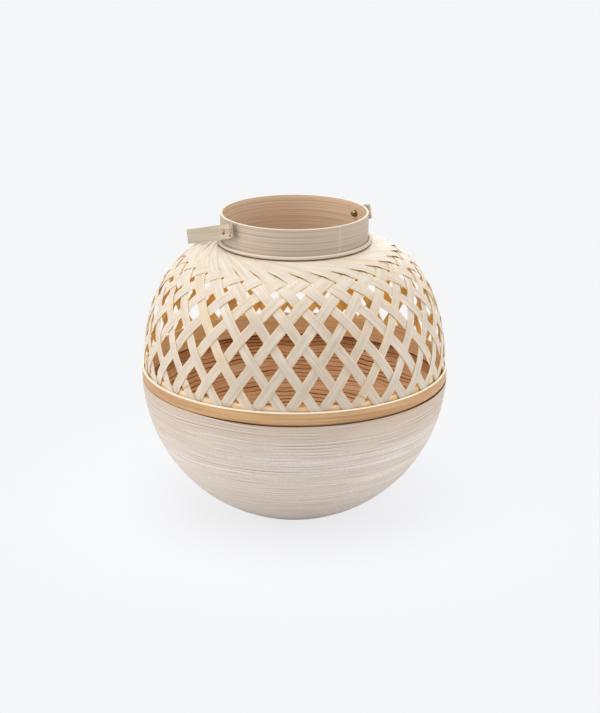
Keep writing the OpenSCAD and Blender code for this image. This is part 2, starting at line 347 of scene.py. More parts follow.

# %% [markdown]
# Bands and slats share the whole recipe. Three sizes of grain lie over each other: soft
# streaks, the fibres, and the slow change of tone along a stem. What differs from piece to
# piece is which way the grain runs and which colours it mixes. Some pieces also have short
# brown scratches, an edge band in another colour, or one dark line across the slat. The edge
# band is a trimmed edge on some pieces, and painted shade or a painted highlight on others.

# %% Bamboo for bands and slats
def bamboo(
    name,
    colours,
    cross_axis=2,
    fibre=0.9,
    streak=3.5,
    reach=60,
    scars=0.0,
    turn=None,
    edge=None,
    stain=None,
    **finish,
):
    """A bamboo finish on Object coordinates. colours are its dark, middle and pale tones.
    cross_axis is the axis across the grain. fibre and streak are widths and reach the length
    of a fibre's mark, in mm. scars is the depth of the scratches, and turn a (place, angles)
    that lines the axes up with the piece. edge is (low, high, colour), an edge band in another
    colour: a trimmed edge, or painted shade or a painted highlight. stain is (place, half width,
    colour), a dark line straight across a slat."""
    material, tree = new_material(name)
    place = add(tree, "ShaderNodeTexCoord").outputs["Object"]
    if turn:
        place = add(
            tree,
            "ShaderNodeMapping",
            {"Vector": place, "Location": turn[0], "Rotation": turn[1]},
            vector_type="TEXTURE",
        ).outputs[0]
    dark, middle, pale = colours
    fibres = grain(tree, place, fibre * mm, reach * mm, cross_axis)
    streaks = grain(tree, place, streak * mm, 2 * reach * mm, cross_axis, 1.0)
    tone = grain(tree, place, 40 * mm, 70 * mm, cross_axis, 1.0)
    colour = tint(tree, paint(middle), pale, (streaks, 0.35, 0.65))
    colour = tint(tree, colour, dark, (fibres, 0.58, 0.36, 0, 0.75))
    colour = tint(tree, colour, middle, (tone, 0.3, 0.7, 0, 0.35))
    if scars:
        scratches = grain(tree, place, 1.6 * mm, 9 * mm, cross_axis, 3.0)
        colour = tint(tree, colour, "#8a5a34", (scratches, 0.68, 0.74, 0, scars))
    if edge:
        low, high, code = edge
        level = add(tree, "ShaderNodeSeparateXYZ", {0: place}).outputs[2]
        colour = tint(tree, colour, code, (level, low, high))
    if stain:
        where, half_width, code = stain
        along = add(tree, "ShaderNodeSeparateXYZ", {0: place}).outputs[1]
        ragged = {0: fibres, 1: 2 * mm, 2: along}
        along = add(tree, "ShaderNodeMath", ragged, operation="MULTIPLY_ADD").outputs[0]
        off = add(tree, "ShaderNodeMath", {0: along, 1: where}, operation="SUBTRACT").outputs[0]
        off = add(tree, "ShaderNodeMath", {0: off}, operation="ABSOLUTE").outputs[0]
        colour = tint(tree, colour, code, (off, half_width, half_width * 0.4, 0, 0.85))
    close_bamboo(tree, colour, fibres, **finish)
    return material


print("the recipe draws fibres 0.9 mm and streaks 3.5 mm wide unless a piece says otherwise")

# %% [markdown]
# ## From a bmesh to a piece
# Each piece is shaped as a bmesh. This function writes it to an object at the origin, smooths
# the shading where the surface bends gently, keeps sharp corners sharp, hangs it on the body
# that carries it and hides the CAD nodes it stands for.

# %% Finish a piece
collection = bpy.context.scene.collection


def finish_piece(name, shape, body, nodes, materials, crease=38):
    """The piece made of a bmesh. Edges that turn by more than crease degrees stay sharp."""
    mesh = bpy.data.meshes.new(name)
    shape.to_mesh(mesh)
    shape.free()
    mesh.shade_smooth()
    mesh.set_sharp_from_angle(angle=math.radians(crease))
    for material in materials:
        mesh.materials.append(material)
    piece = bpy.data.objects.new(name, mesh)
    collection.objects.link(piece)
    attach(piece, body)
    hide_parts(*nodes)
    print(f"{name}: {sum(len(f.vertices) - 2 for f in mesh.polygons)} triangles")
    return piece


def azimuth(place):
    """Turn about the upright axis from the front of the lantern, in degrees, right is +."""
    return math.degrees(math.atan2(place.x, -place.y))


def ease(share):
    """0 to 1 with a soft start and stop."""
    share = min(1, max(0, share))
    return share * share * (3 - 2 * share)


print("front of the lantern is azimuth", azimuth(Vector((0, -1, 0))))

# %% [markdown]
# ## The coiled bowl
# The bowl is one long bamboo ribbon, wound on edge into a flat coil, pushed out into a bowl,
# glued and sanded. Outside, sanding leaves only shallow ridges; inside, each turn of the coil
# stands a little proud of the next. It is spun from a profile, and then every row of points is
# moved by how its turn of the coil lies. The noise that varies a ridge round the bowl is read
# from the point's own place, so the ridge closes on itself.

# %% Bowl profile
outer_coil = 3.4 * mm
inner_coil = 4.4 * mm
joint_share = 0.07
step_share = 0.14
inner_r = bowl_r - bowl_wall
hoop_seat_r = hoop_high.x + glue_gap
seat_z = hoop_low.z - glue_gap


def arc_angle(radius, height):
    """Angle from straight down, at the sphere's centre, of a height on a sphere."""
    return math.acos((centre_z - height) / radius)


def arc_point(radius, angle):
    """A point of a sphere about the bowl's centre, above the X axis."""
    return Vector((radius * math.sin(angle), 0, centre_z - radius * math.cos(angle)))


def coil_rows(radius, low, high, pitch):
    """Points up a wall: four to each turn of the coil, close together at the joint."""
    start = arc_angle(radius, low)
    run = radius * (arc_angle(radius, high) - start)
    turns = round(run / pitch)
    row_shares = (0, joint_share, 0.5, 1 - joint_share)
    shares = [turn + share for turn in range(turns) for share in row_shares]
    return [arc_point(radius, start + share / turns * run / radius) for share in shares]


outside = coil_rows(bowl_r, bowl_low.z, bowl_high.z, outer_coil)
inside = coil_rows(inner_r, floor_t, seat_z, inner_coil)
rim = [
    arc_point(bowl_r, arc_angle(bowl_r, bowl_high.z)),
    Vector((hoop_seat_r, 0, bowl_high.z)),
    Vector((hoop_seat_r, 0, seat_z)),
    arc_point(inner_r, arc_angle(inner_r, seat_z)),
]
foot_rows = [Vector((0, 0, 0)), Vector((foot_r * 0.5, 0, 0))]
floor_turns = round(inside[0].x / inner_coil)
floor_rows = [
    Vector((inside[0].x * share / floor_turns, 0, floor_t))
    for turn in range(floor_turns, 0, -1)
    for share in (turn - step_share, turn - 0.5, turn - 1 + step_share)
]
profile = foot_rows + outside + rim + inside[::-1] + floor_rows + [Vector((0, 0, floor_t))]
print("profile points:", len(profile), "outer turns:", len(outside) // 4)

# %% [markdown]
# The outside is sanded to within half a millimetre. The inside steps by up to a millimetre.
# The rim dips a little towards the front right, where the real bowl has shrunk away from the
# ring, and a seam opens between them. The rim's top face is painted dark, as the shade in it.

# %% How far each row moves
rng = random.Random(11)
turn_count = 90
patches_per_metre = 9
turn_shift = 2.7
seam_depth = 1.9 * mm
seam_height = 14 * mm
seam_opens = (-42, -6)
seam_closes = (110, 155)
outer_depth = [rng.choice((0.02, 0.05, 0.08, 0.15, 0.32)) * mm for _ in range(turn_count)]
outer_groove = [rng.choice((0.0, 0.02, 0.04, 0.14)) * mm for _ in range(turn_count)]
inner_depth = [rng.uniform(0.15, 1.0) * mm for _ in range(turn_count)]


def coil_run(point):
    """Distance along the profile from the lantern's axis: flat, then up the sphere."""
    flat = math.hypot(point.x, point.y)
    if flat < foot_r - glue_gap or point.z < glue_gap:
        return flat
    angle = math.atan2(flat, centre_z - point.z)
    return foot_r + bowl_r * (angle - math.asin(foot_r / bowl_r))


def fading(point, turn, low, high):
    """How strongly one turn of the coil shows at this side of the bowl."""
    flat = Vector((point.x, point.y, 0)) * patches_per_metre
    value = noise.noise(Vector((flat.x, flat.y, turn * turn_shift)))
    return low + (high - low) * min(1, max(0, 0.5 + value))


def relief(point, on_outside):
    """How far a point of the wall stands out of the smooth wall."""
    pitch = outer_coil if on_outside else inner_coil
    run = coil_run(point)
    turn = int(run / pitch)
    phase = run / pitch - turn
    if on_outside:
        joint = outer_groove[turn] * max(0, 1 - min(phase, 1 - phase) / joint_share)
        return -(outer_depth[turn] + joint) * fading(point, turn, 0.4, 1.0)
    step = inner_depth[turn] * (1 - phase)
    return step * fading(point, turn, 0.5, 1.0)


def seam_opening(turn):
    """How far the rim has sunk below the ring, by azimuth."""
    opening = ease((turn - seam_opens[0]) / (seam_opens[1] - seam_opens[0]))
    closing = ease((turn - seam_closes[0]) / (seam_closes[1] - seam_closes[0]))
    return seam_depth * opening * (1 - closing)


print("the seam is open by", round(1000 * seam_opening(45), 2), "mm at azimuth 45")

# %% [markdown]
# The profile is spun once round and the seam of the spin merged. Faces of the inside and the
# rim get materials of their own before the rows move, while the wall is still a true sphere.
# The run along the profile is kept on each point, for the finishes.

# %% Spin the bowl and move its rows
spin_steps = 144
bowl = bmesh.new()
line = [bowl.verts.new(point) for point in profile]
links = [bowl.edges.new(pair) for pair in zip(line, line[1:])]
bmesh.ops.spin(
    bowl,
    geom=line + links,
    cent=(0, 0, 0),
    axis=(0, 0, 1),
    angle=math.tau,
    steps=spin_steps,
    use_merge=True,
)
bmesh.ops.remove_doubles(bowl, verts=bowl.verts, dist=0.01 * mm)
bmesh.ops.recalc_face_normals(bowl, faces=bowl.faces)

# The rim's top face gets bare bamboo painted dark, as the shade in the seam under the ring.
raw_inside, shaded_rim_index = 1, 2
runs = bowl.verts.layers.float.new("coil_run")
for face in bowl.faces:
    middle = face.calc_center_median()
    deep = (middle - Vector((0, 0, centre_z))).length < bowl_r - bowl_wall / 2
    face.material_index = raw_inside if deep and middle.z > floor_t / 2 else 0
    if middle.z > bowl_high.z - glue_gap:
        face.material_index = shaded_rim_index

for vert in bowl.verts:
    vert[runs] = coil_run(vert.co)
    reach = (vert.co - Vector((0, 0, centre_z))).length
    outward = (vert.co - Vector((0, 0, centre_z))).normalized()
    on_outside = abs(reach - bowl_r) < glue_gap / 10
    on_inside = abs(reach - inner_r) < glue_gap / 10
    if on_outside and vert.co.z < bowl_high.z - glue_gap:
        vert.co += outward * relief(vert.co, True)
    elif on_inside and vert.co.z < seat_z - glue_gap:
        vert.co -= outward * relief(vert.co, False)
    sunk = ease((vert.co.z - bowl_high.z + seam_height) / seam_height)
    vert.co.z -= seam_opening(azimuth(vert.co)) * sunk
print("faces of the bowl:", len(bowl.faces))

# %% [markdown]
# ## Patterns that follow the coil
# Every mark on the bowl follows the ribbon, so the finishes read the coil_run attribute. Each
# turn of the coil gets a number, and a noise that differs from turn to turn gives it its own
# tone and says where its joint with the next one shows.

# %% Coil coordinates
turn_gap = 3.7


def coil_place(tree):
    """Coordinates that follow the coil: x and y of the point, and the run along the profile."""
    place = add(tree, "ShaderNodeTexCoord").outputs["Object"]
    flat = add(tree, "ShaderNodeSeparateXYZ", {0: place}).outputs
    run = add(tree, "ShaderNodeAttribute", attribute_name="coil_run").outputs["Fac"]
    return add(tree, "ShaderNodeCombineXYZ", {0: flat[0], 1: flat[1], 2: run}).outputs[0], run


def coil_turns(tree, run, pitch, wander, ahead=0.0):
    """How far a point is from the nearest joint, in turns, and the turn's own number. wander
    holds pairs of a noise and its share, which make the joints waver, and ahead shifts them."""
    inputs = {0: run, 1: 1 / pitch, 2: ahead}
    turns = add(tree, "ShaderNodeMath", inputs, operation="MULTIPLY_ADD").outputs[0]
    for pattern, share in wander:
        inputs = {0: pattern, 1: share, 2: turns}
        turns = add(tree, "ShaderNodeMath", inputs, operation="MULTIPLY_ADD").outputs[0]
    off = add(tree, "ShaderNodeMath", {0: turns, 1: 0.5}, operation="PINGPONG").outputs[0]
    which = add(tree, "ShaderNodeMath", {0: turns}, operation="FLOOR").outputs[0]
    return off, which


def by_turn(tree, place, which, patch):
    """Noise that differs from turn to turn and changes round the bowl in patches."""
    flat = add(tree, "ShaderNodeSeparateXYZ", {0: place}).outputs
    spot = add(tree, "ShaderNodeCombineXYZ", {0: flat[0], 1: flat[1], 2: which}).outputs[0]
    return grain(tree, spot, 1 / turn_gap, patch, 2, 1.0)


bowl_run = coil_run(outside[-1])
hoop_run = coil_run(rim[-1])
print("run to the rim", round(1000 * bowl_run), "mm, to the hoop", round(1000 * hoop_run), "mm")

# %% [markdown]
# ## Whitewashed outside
# The outside was rubbed with thin white paint, which stays in bands and streaks along the
# coils. Sanding left a fine tooth and a few brown flecks. Just under the ring the colour is
# painted darker and browner, as shade. In some places a joint shows as a brown line, with a
# white lip painted above it as the highlight on its step.

# %% Whitewash
rim_shade_height = 44 * mm
joint_w = 0.13
highlight_lip_w = 0.16
highlight_lip_ahead = 0.2
line_core = 0.3

whitewash, tree = new_material("whitewashed_coiled_bamboo")
place, run = coil_place(tree)
lines = grain(tree, place, 0.9 * mm, 45 * mm, 2)
bands = grain(tree, place, 4.0 * mm, 150 * mm, 2, 3.0)
broad = grain(tree, place, 24 * mm, 200 * mm, 2, 1.0)
sand = grain(tree, place, 0.9 * mm, 2.2 * mm, 2, 1.0)
flecks = grain(tree, place, 0.8 * mm, 7 * mm, 2, 1.0)
cover = grain(tree, place, 45 * mm, 80 * mm, 2, 1.0)
wander = [(grain(tree, place, 60 * mm, 90 * mm, 2, 1.0), 1.5)]
joint, which = coil_turns(tree, run, outer_coil, wander)
highlight_lip, _ = coil_turns(tree, run, outer_coil, wander, highlight_lip_ahead)
patchy = by_turn(tree, place, which, 80 * mm)
colour = tint(tree, paint("#d7cbc0"), "#eae4de", (bands, 0.36, 0.64))
colour = tint(tree, colour, "#dccfc5", (broad, 0.40, 0.60, 0, 0.7))
colour = tint(tree, colour, "#bba894", (lines, 0.60, 0.36, 0, 0.50), (cover, 0.42, 0.58, 1.0, 0.35))
colour = tint(tree, colour, "#b3a08e", (sand, 0.62, 0.40, 0, 0.26))
# Painted shade: darker and browner towards the ring.
colour = tint(tree, colour, "#c8b29e", (run, bowl_run - rim_shade_height, bowl_run, 0, 0.8))
# Painted highlight: a near-white lip just above some joints, as the light on the step.
colour = tint(tree, colour, "#f6f2ee", (highlight_lip, highlight_lip_w, highlight_lip_w * line_core), (patchy, 0.50, 0.60, 0, 0.6))
joint_shows = (patchy, 0.50, 0.62, 0, 0.95)
colour = tint(tree, colour, "#7f6450", (joint, joint_w, joint_w * line_core), joint_shows)
colour = tint(tree, colour, "#8c6a4c", (flecks, 0.76, 0.82, 0, 0.6))
close_bamboo(tree, colour, lines, roughness=0.66, relief=0.22, depth=0.15)
# Prints the height over which the colour is painted darker, as shade.
print("the wash thins out over", round(1000 * rim_shade_height), "mm below the ring")

# %% [markdown]
# ## Bare, steamed inside
# Steaming turned the inside warm brown. Its joints waver and are dark, because the skin of
# the ribbon shows between two turns. A few turns are paler, and the coils close under the hoop
# are painted darker, as the shade that falls there.

# %% Steamed inside
step_w = 0.17
hoop_shade_band = (hoop_run - 15 * mm, hoop_run - 9 * mm)

steamed, tree = new_material("steamed_coiled_bamboo")
place, run = coil_place(tree)
lines = grain(tree, place, 1.2 * mm, 40 * mm, 2)
drift = grain(tree, place, 40 * mm, 50 * mm, 2, 1.0)
shiver = grain(tree, place, 9 * mm, 9 * mm, 2, 1.0)
joint, which = coil_turns(tree, run, inner_coil, [(drift, 2.6), (shiver, 0.35)])
patchy = by_turn(tree, place, which, 110 * mm)
colour = tint(tree, paint("#f0c397"), "#fddbb4", (patchy, 0.32, 0.68))
colour = tint(tree, colour, "#d09c6c", (lines, 0.58, 0.36, 0, 0.45))
colour = tint(tree, colour, "#fdeacd", (patchy, 0.64, 0.70, 0, 0.85))
# Painted shade: the coils just under the hoop are darkened as the shade that falls there.
colour = tint(tree, colour, "#ac7143", (run, *hoop_shade_band, 0, 0.55))
colour = tint(tree, colour, "#45210c", (joint, step_w, step_w * line_core), (patchy, 0.60, 0.48))
close_bamboo(tree, colour, lines, roughness=0.6, relief=0.3)

# Bare bamboo painted dark for the rim's top face, as the shade in the seam.
bare_rim_in_shade = bamboo("bare_rim_painted_shade", ("#6b4526", "#8a5c38", "#a2744c"), fibre=1.2)
bowl_finishes = [whitewash, steamed, bare_rim_in_shade]
finish_piece("coiled_bowl", bowl, "lantern", ["bowl_shell"], bowl_finishes)

# %% [markdown]
# ## Bands bent from a flat slat
# The ring, the hoop, the collar and the keeper are all the same thing: a flat slat, shaved thin
# at both ends, bent round and glued where the ends lap. Such a band is spun from four corner
# points and its hoops are bevelled. At the lap the outer end makes a small step: the surface
# sinks by the lap's thickness just past it and comes back to full width further round.

# %% Bend a band
lap_taper = 0.9
lap_reach = 70


def bent_band(outer_r, inner_r, low, high, lap_at, lap, rounding):
    """A band whose outer end lies at azimuth lap_at and is lap thick."""
    band = bmesh.new()
    corners = [(inner_r, 0, low), (outer_r, 0, low), (outer_r, 0, high), (inner_r, 0, high)]
    line = [band.verts.new(corner) for corner in corners]
    links = [band.edges.new(pair) for pair in zip(line, line[1:] + line[:1])]
    bmesh.ops.spin(
        band,
        geom=line + links,
        cent=(0, 0, 0),
        axis=(0, 0, 1),
        angle=math.tau,
        steps=spin_steps,
        use_merge=True,
    )
    bmesh.ops.recalc_face_normals(band, faces=band.faces)
    hoops = [edge for edge in band.edges if edge.calc_face_angle(0) > math.radians(60)]
    bmesh.ops.bevel(
        band, geom=hoops, offset=rounding, segments=3, profile=0.5, affect="EDGES", material=-1
    )
    column = 360 / spin_steps
    for vert in band.verts:
        past = math.degrees(math.atan2(vert.co.y, vert.co.x)) % 360
        if past < column / 2 or past > 360 - column / 2:
            continue
        reach = math.hypot(vert.co.x, vert.co.y)
        depth = lap * max(0, 1 - past / lap_reach) * (reach - inner_r) / (outer_r - inner_r)
        if past < column * 1.5:
            past = lap_taper
        reach -= depth
        vert.co.x = reach * math.cos(math.radians(past))
        vert.co.y = reach * math.sin(math.radians(past))
    turn = Matrix.Rotation(math.radians(lap_at - 90), 4, "Z")
    bmesh.ops.transform(band, matrix=turn, verts=band.verts)
    return band


def split_faces(band, middle_r, inner_index):
    """Gives the faces on the inner side of a band another of its materials."""
    for face in band.faces:
        middle = face.calc_center_median()
        if math.hypot(middle.x, middle.y) < middle_r:
            face.material_index = inner_index


print("bands are spun in", spin_steps, "steps of", 360 / spin_steps, "degrees")

# %% [markdown]
# ## Outer ring and inner hoop
# The outer ring covers the seam between bowl and dome. It keeps the bamboo's own tan bark with
# a few scratches, and its top edge is trimmed pale, with a painted highlight along it. The hoop
# inside is bare and pale; its lower edge is painted dark as the shade of the gap where it sits
# on the bowl. The strips' ends are glued between the two.

# %% Ring and hoop
ring_bark = bamboo(
    "tan_bamboo_bark",
    ("#a97740", "#bf8e59", "#cfa570"),
    fibre=1.3,
    streak=4.0,
    # Partly painted highlight: the trimmed top edge is made near white, as the light along it.
    edge=(ring_high.z - 1.3 * mm, ring_high.z - 0.7 * mm, "#f8ead0"),
    scars=0.6,
    roughness=0.42,
    relief=0.2,
    sheen=0.8,
)
ring_in = ring_high.x - band_t
ring = bent_band(
    ring_high.x, ring_in, ring_low.z, ring_high.z, lap_at=160, lap=0.5 * mm, rounding=0.5 * mm
)
finish_piece("rim_ring", ring, "lantern", ["outer_ring"], [ring_bark])

hoop_bamboo = bamboo(
    "bare_bamboo_hoop",
    ("#e8bd88", "#fddfb2", "#ffedcf"),
    fibre=1.2,
    # Painted shade: the dark lower edge stands for the shade of the gap under the hoop.
    edge=(hoop_low.z + 1.9 * mm, hoop_low.z + 1.1 * mm, "#4c2b15"),
)
hoop_in = hoop_high.x - band_t
hoop = bent_band(
    hoop_high.x, hoop_in, hoop_low.z, hoop_high.z, lap_at=70, lap=0.4 * mm, rounding=0.4 * mm
)
finish_piece("lining_hoop", hoop, "lantern", ["inner_hoop"], [hoop_bamboo])

# %% [markdown]
# ## The path of a strip
# Every strip touches the neck at its middle and runs down both ways to the ring, like a string
# pulled tight over the dome. Such a line keeps its distance from the axis in a fixed relation
# to its direction, so it can be walked in small steps: the steeper the strip already runs, the
# less it turns. The walk starts at the neck, where the strip runs level, with very short steps.

# %% Walk down the dome
strip_count = 30
strip_w = 9.6 * mm
strip_t = 0.4 * mm
weave_turn = 2.8
weave_clearance = 0.3 * mm
dome_foot_z = ring_high.z
dome_h = 124.2 * mm
fullness = 4
dome_r = ring_high.x - band_t - weave_clearance
neck_r = collar_high.x + weave_clearance + strip_w / 2
edge_bend = 0.08

steps = 200
neck_angle = math.acos((neck_r / dome_r) ** (fullness / 2))
walk = neck_angle * (1 - (np.arange(steps + 2) / steps) ** 2)
walk_r = dome_r * np.cos(walk) ** (2 / fullness)
walk_z = dome_foot_z + dome_h * np.sin(walk)
half_way = neck_angle * (1 - ((np.arange(steps + 1) + 0.5) / steps) ** 2)
half_r = dome_r * np.cos(half_way) ** (2 / fullness)
half_lean = neck_r + edge_bend * (half_r - neck_r)
slope = np.hypot(np.diff(walk_r), np.diff(walk_z))
turn_step = slope * half_lean / (half_r * np.sqrt(half_r**2 - half_lean**2))
walk_turn = np.concatenate([[0], np.degrees(np.cumsum(turn_step))])[: steps + 1]
walk_r, walk_z = walk_r[: steps + 1], walk_z[: steps + 1]
walk_len = np.concatenate([[0], np.cumsum(np.hypot(slope, half_r * turn_step))])[: steps + 1]
rim_turn = walk_turn[-1]
rim_lean = neck_r + edge_bend * (dome_r - neck_r)
drop_per_turn = dome_r * math.radians(1) * math.sqrt(dome_r**2 - rim_lean**2) / rim_lean
print(f"a strip turns {rim_turn:.1f} degrees and runs {1000 * walk_len[-1]:.0f} mm to the ring")

# %% [markdown]
# ## Over and under
# Off the dome's mid surface a strip goes up and down to pass its neighbours. By the neck the
# strips lie on each other like the blades of an iris, each a little higher than the last and
# pressed almost flat. From the seventh crossing on they weave plainly: over one, under the
# next. Behind the ring the ends that run one way lie outside the ends that run the other way.

# %% Height of a strip along its path
cross_turn = 180 / strip_count
last_crossing = math.ceil(rim_turn / cross_turn)
first_crossing = 7
stack_margin = 2.5
stack_turn = first_crossing * cross_turn - stack_margin
stack_gap = 0.12 * mm
stack_rise = (strip_t + stack_gap) / (2 * cross_turn)
weave_gap = 0.2 * mm
weave_lift = strip_t / 2 + weave_gap
flat_turn = 2
layer_gap = 0.45 * mm
outer_layer_r = dome_r - strip_t / 2
inner_layer_r = outer_layer_r - strip_t - layer_gap


def over(crossing):
    """The height at which a strip passes a crossing: over the odd ones, under the even."""
    return weave_lift if crossing % 2 else -weave_lift


def lift_table(side):
    """Turns and heights on one side of the strip's middle."""
    table = [(0, 0), (stack_turn, side * stack_turn * stack_rise)]
    height = side * over(first_crossing)
    table += [(first_crossing * cross_turn + t, height) for t in (0, flat_turn)]
    for crossing in range(first_crossing + 1, last_crossing):
        height = side * over(crossing)
        table += [(crossing * cross_turn + t, height) for t in (-flat_turn, flat_turn)]
    layer_r = outer_layer_r if side * over(last_crossing) > 0 else inner_layer_r
    table += [(last_crossing * cross_turn - flat_turn, layer_r - dome_r), (180, layer_r - dome_r)]
    return np.array(table)


lift_tables = {1: lift_table(1), -1: lift_table(-1)}


def lift(turn):
    """Height of the strip's middle off the dome, eased between the levels past the stack."""
    table = lift_tables[1 if turn > 0 else -1]
    place = abs(turn)
    row = int(np.searchsorted(table[:, 0], place, side="right")) - 1
    (low_turn, low), (high_turn, high) = table[row], table[row + 1]
    share = (place - low_turn) / (high_turn - low_turn)
    return low + (high - low) * (share if row == 0 else ease(share))


print("plain weave from crossing", first_crossing, "to", last_crossing)

# %% [markdown]
# ## Where a strip is, and which way it faces
# A strip is modelled flat, the way it is split from the stem, and then laid on the dome. For
# that the script needs, at any length along the strip, a point, the outward direction and
# the direction across. With those three, any flat point has its place on the dome.

# %% Lay a flat point on the dome
def path_point(turn):
    """A point of the path on the dome, and below the ring's top straight on down."""
    size = abs(turn)
    radius = np.interp(size, walk_turn, walk_r)
    height = np.interp(size, walk_turn, walk_z) - max(0, size - rim_turn) * drop_per_turn
    angle = math.radians(turn)
    return Vector((radius * math.sin(angle), -radius * math.cos(angle), height))


def dome_normal(turn):
    """The outward direction of the dome at a point of the path."""
    radius = min(float(np.interp(abs(turn), walk_turn, walk_r)), dome_r)
    share = math.sqrt(max(0, 1 - (radius / dome_r) ** fullness))
    out = Vector((fullness * (radius / dome_r) ** (fullness - 1) / dome_r, 2 * share / dome_h))
    out.normalize()
    angle = math.radians(turn)
    return Vector((out[0] * math.sin(angle), -out[0] * math.cos(angle), out[1]))


rim_len = walk_len[-1]
len_per_turn = math.hypot(drop_per_turn, dome_r * math.radians(1))
spare_turn = 20
table_turn = np.append(walk_turn, rim_turn + spare_turn)
table_len = np.append(walk_len, rim_len + spare_turn * len_per_turn)
small_turn = 0.25


def strip_frame(length):
    """The strip's middle, its outward direction and its direction across, at a length."""
    turn = math.copysign(float(np.interp(abs(length), table_len, table_turn)), length)
    out = dome_normal(turn)
    ahead = (path_point(turn + small_turn) - path_point(turn - small_turn)).normalized()
    side = out.cross(ahead).normalized()
    return path_point(turn) + out * lift(turn), out, side


print("middle of a strip is", [round(1000 * v, 1) for v in strip_frame(0)[0]], "mm")

# %% [markdown]
# ## A split strip, flat
# A strip is split from the stem with a knife and drawn to an even width. It is made as a flat
# grid, given its thickness and its long edges rounded. The grid's own coordinates then serve as
# the UV map: u runs along the strip and v across it, both in metres, so the grain can be
# drawn at its real size and follows the strip wherever it bends.

# %% Make the flat strip
tail_turn = 3
end_turn = last_crossing * cross_turn + tail_turn
half_length = rim_len + len_per_turn * (end_turn - rim_turn)
cells_along = 210
cells_across = 4
edge_softness = 0.13 * mm
flat_strip = bmesh.new()
bmesh.ops.create_grid(flat_strip, x_segments=cells_along, y_segments=cells_across, size=1)
bmesh.ops.scale(flat_strip, vec=(half_length, strip_w / 2, 1), verts=flat_strip.verts)
bmesh.ops.solidify(flat_strip, geom=flat_strip.faces[:], thickness=strip_t)
bmesh.ops.translate(flat_strip, vec=(0, 0, strip_t / 2), verts=flat_strip.verts)
bmesh.ops.recalc_face_normals(flat_strip, faces=flat_strip.faces)
long_edges = [
    edge
    for edge in flat_strip.edges
    if all(abs(vert.co.y) > strip_w * 0.49 for vert in edge.verts)
    and abs(edge.verts[0].co.x - edge.verts[1].co.x) > 0.1 * mm
]
bmesh.ops.bevel(
    flat_strip,
    geom=long_edges,
    offset=edge_softness,
    segments=2,
    profile=0.5,
    affect="EDGES",
    material=-1,
)

pith, cut_edge = 1, 2
for face in flat_strip.faces:
    face.normal_update()
    if abs(face.normal.z) < 0.3:
        face.material_index = cut_edge
    elif face.normal.z < 0:
        face.material_index = pith
print("flat strip:", len(flat_strip.faces), "faces,", round(2000 * half_length), "mm long")

# %% [markdown]
# ## Bleached skin of the strips
# The skin side was bleached, so it is almost white with fine straw fibres, and it turns to
# straw yellow at the cut edges. A few strips are yellower than the others. Each strip's place
# in the UV map starts a metre after the last one's, so the whole metres give it a number of
# its own. A few strips cross one of the stem's knots and carry a thin brown line.

# %% Strip skin
knot_gap = 290 * mm
number_step = 0.37
yellow_edge = (strip_w / 2 - 0.9 * mm, strip_w / 2 - 0.4 * mm)


def strip_place(tree):
    """The strip's own flat coordinates, together and one by one."""
    place = add(tree, "ShaderNodeUVMap", uv_map="grain").outputs[0]
    return place, add(tree, "ShaderNodeSeparateXYZ", {0: place}).outputs


skin, tree = new_material("bleached_bamboo_skin")
place, (along, across, _) = strip_place(tree)
fibres = grain(tree, place, 0.7 * mm, 30 * mm, 1)
streaks = grain(tree, place, 3.2 * mm, 80 * mm, 1, 1.0)
tone = grain(tree, place, 60 * mm, 130 * mm, 1, 1.0)
number = add(tree, "ShaderNodeMath", {0: along}, operation="FLOOR").outputs[0]
number = add(tree, "ShaderNodeMath", {0: number, 1: number_step}, operation="MULTIPLY").outputs[0]
sort = add(tree, "ShaderNodeTexWhiteNoise", {"W": number}, noise_dimensions="1D").outputs["Value"]
off_middle = add(tree, "ShaderNodeMath", {0: across}, operation="ABSOLUTE").outputs[0]
stem = add(tree, "ShaderNodeMath", {0: along, 1: 1 / knot_gap}, operation="MULTIPLY").outputs[0]
knot = add(tree, "ShaderNodeMath", {0: stem, 1: 0.5}, operation="PINGPONG").outputs[0]
colour = tint(tree, paint("#d1c3b4"), "#dcd3c7", (streaks, 0.34, 0.66))
colour = tint(tree, colour, "#dbc7a8", (sort, 0.60, 1.0, 0, 0.7), (tone, 0.35, 0.6))
colour = tint(tree, colour, "#b5a284", (fibres, 0.60, 0.38, 0, 0.32))
colour = tint(tree, colour, "#e0cda4", (off_middle, *yellow_edge, 0, 0.6))
colour = tint(tree, colour, "#a57c4c", (knot, 0.004, 0.0015), (sort, 0.80, 0.81, 0, 0.5))
close_bamboo(tree, colour, fibres, roughness=0.5, relief=0.12, sheen=0.5, soak=0.9)
print("a knot every", round(1000 * knot_gap), "mm of stem")

# %% [markdown]
# ## Pith and split edges
# The pith side was never bleached and glows orange where light comes through the weave. The
# split edges show cut fibres, darker in the hollows than on the ridges.

# %% Pith side and split edge
pith_side, tree = new_material("bare_bamboo_pith")
place, _ = strip_place(tree)
fibres = grain(tree, place, 0.9 * mm, 40 * mm, 1)
tone = grain(tree, place, 6 * mm, 80 * mm, 1, 1.0)
colour = tint(tree, paint("#f0ca80"), "#f8dfa6", (tone, 0.3, 0.7))
colour = tint(tree, colour, "#d6ac5e", (fibres, 0.6, 0.36, 0, 0.45))
close_bamboo(tree, colour, fibres, roughness=0.65, relief=0.2, soak=0.9)

split_edge, tree = new_material("split_bamboo_edge")
place, _ = strip_place(tree)
fibres = grain(tree, place, 0.8 * mm, 12 * mm, 1)
colour = tint(tree, paint("#b98a55"), "#e2c38e", (fibres, 0.35, 0.65))
close_bamboo(tree, colour, fibres, roughness=0.6, relief=0.2, soak=0.9)
print("three finishes on each strip")

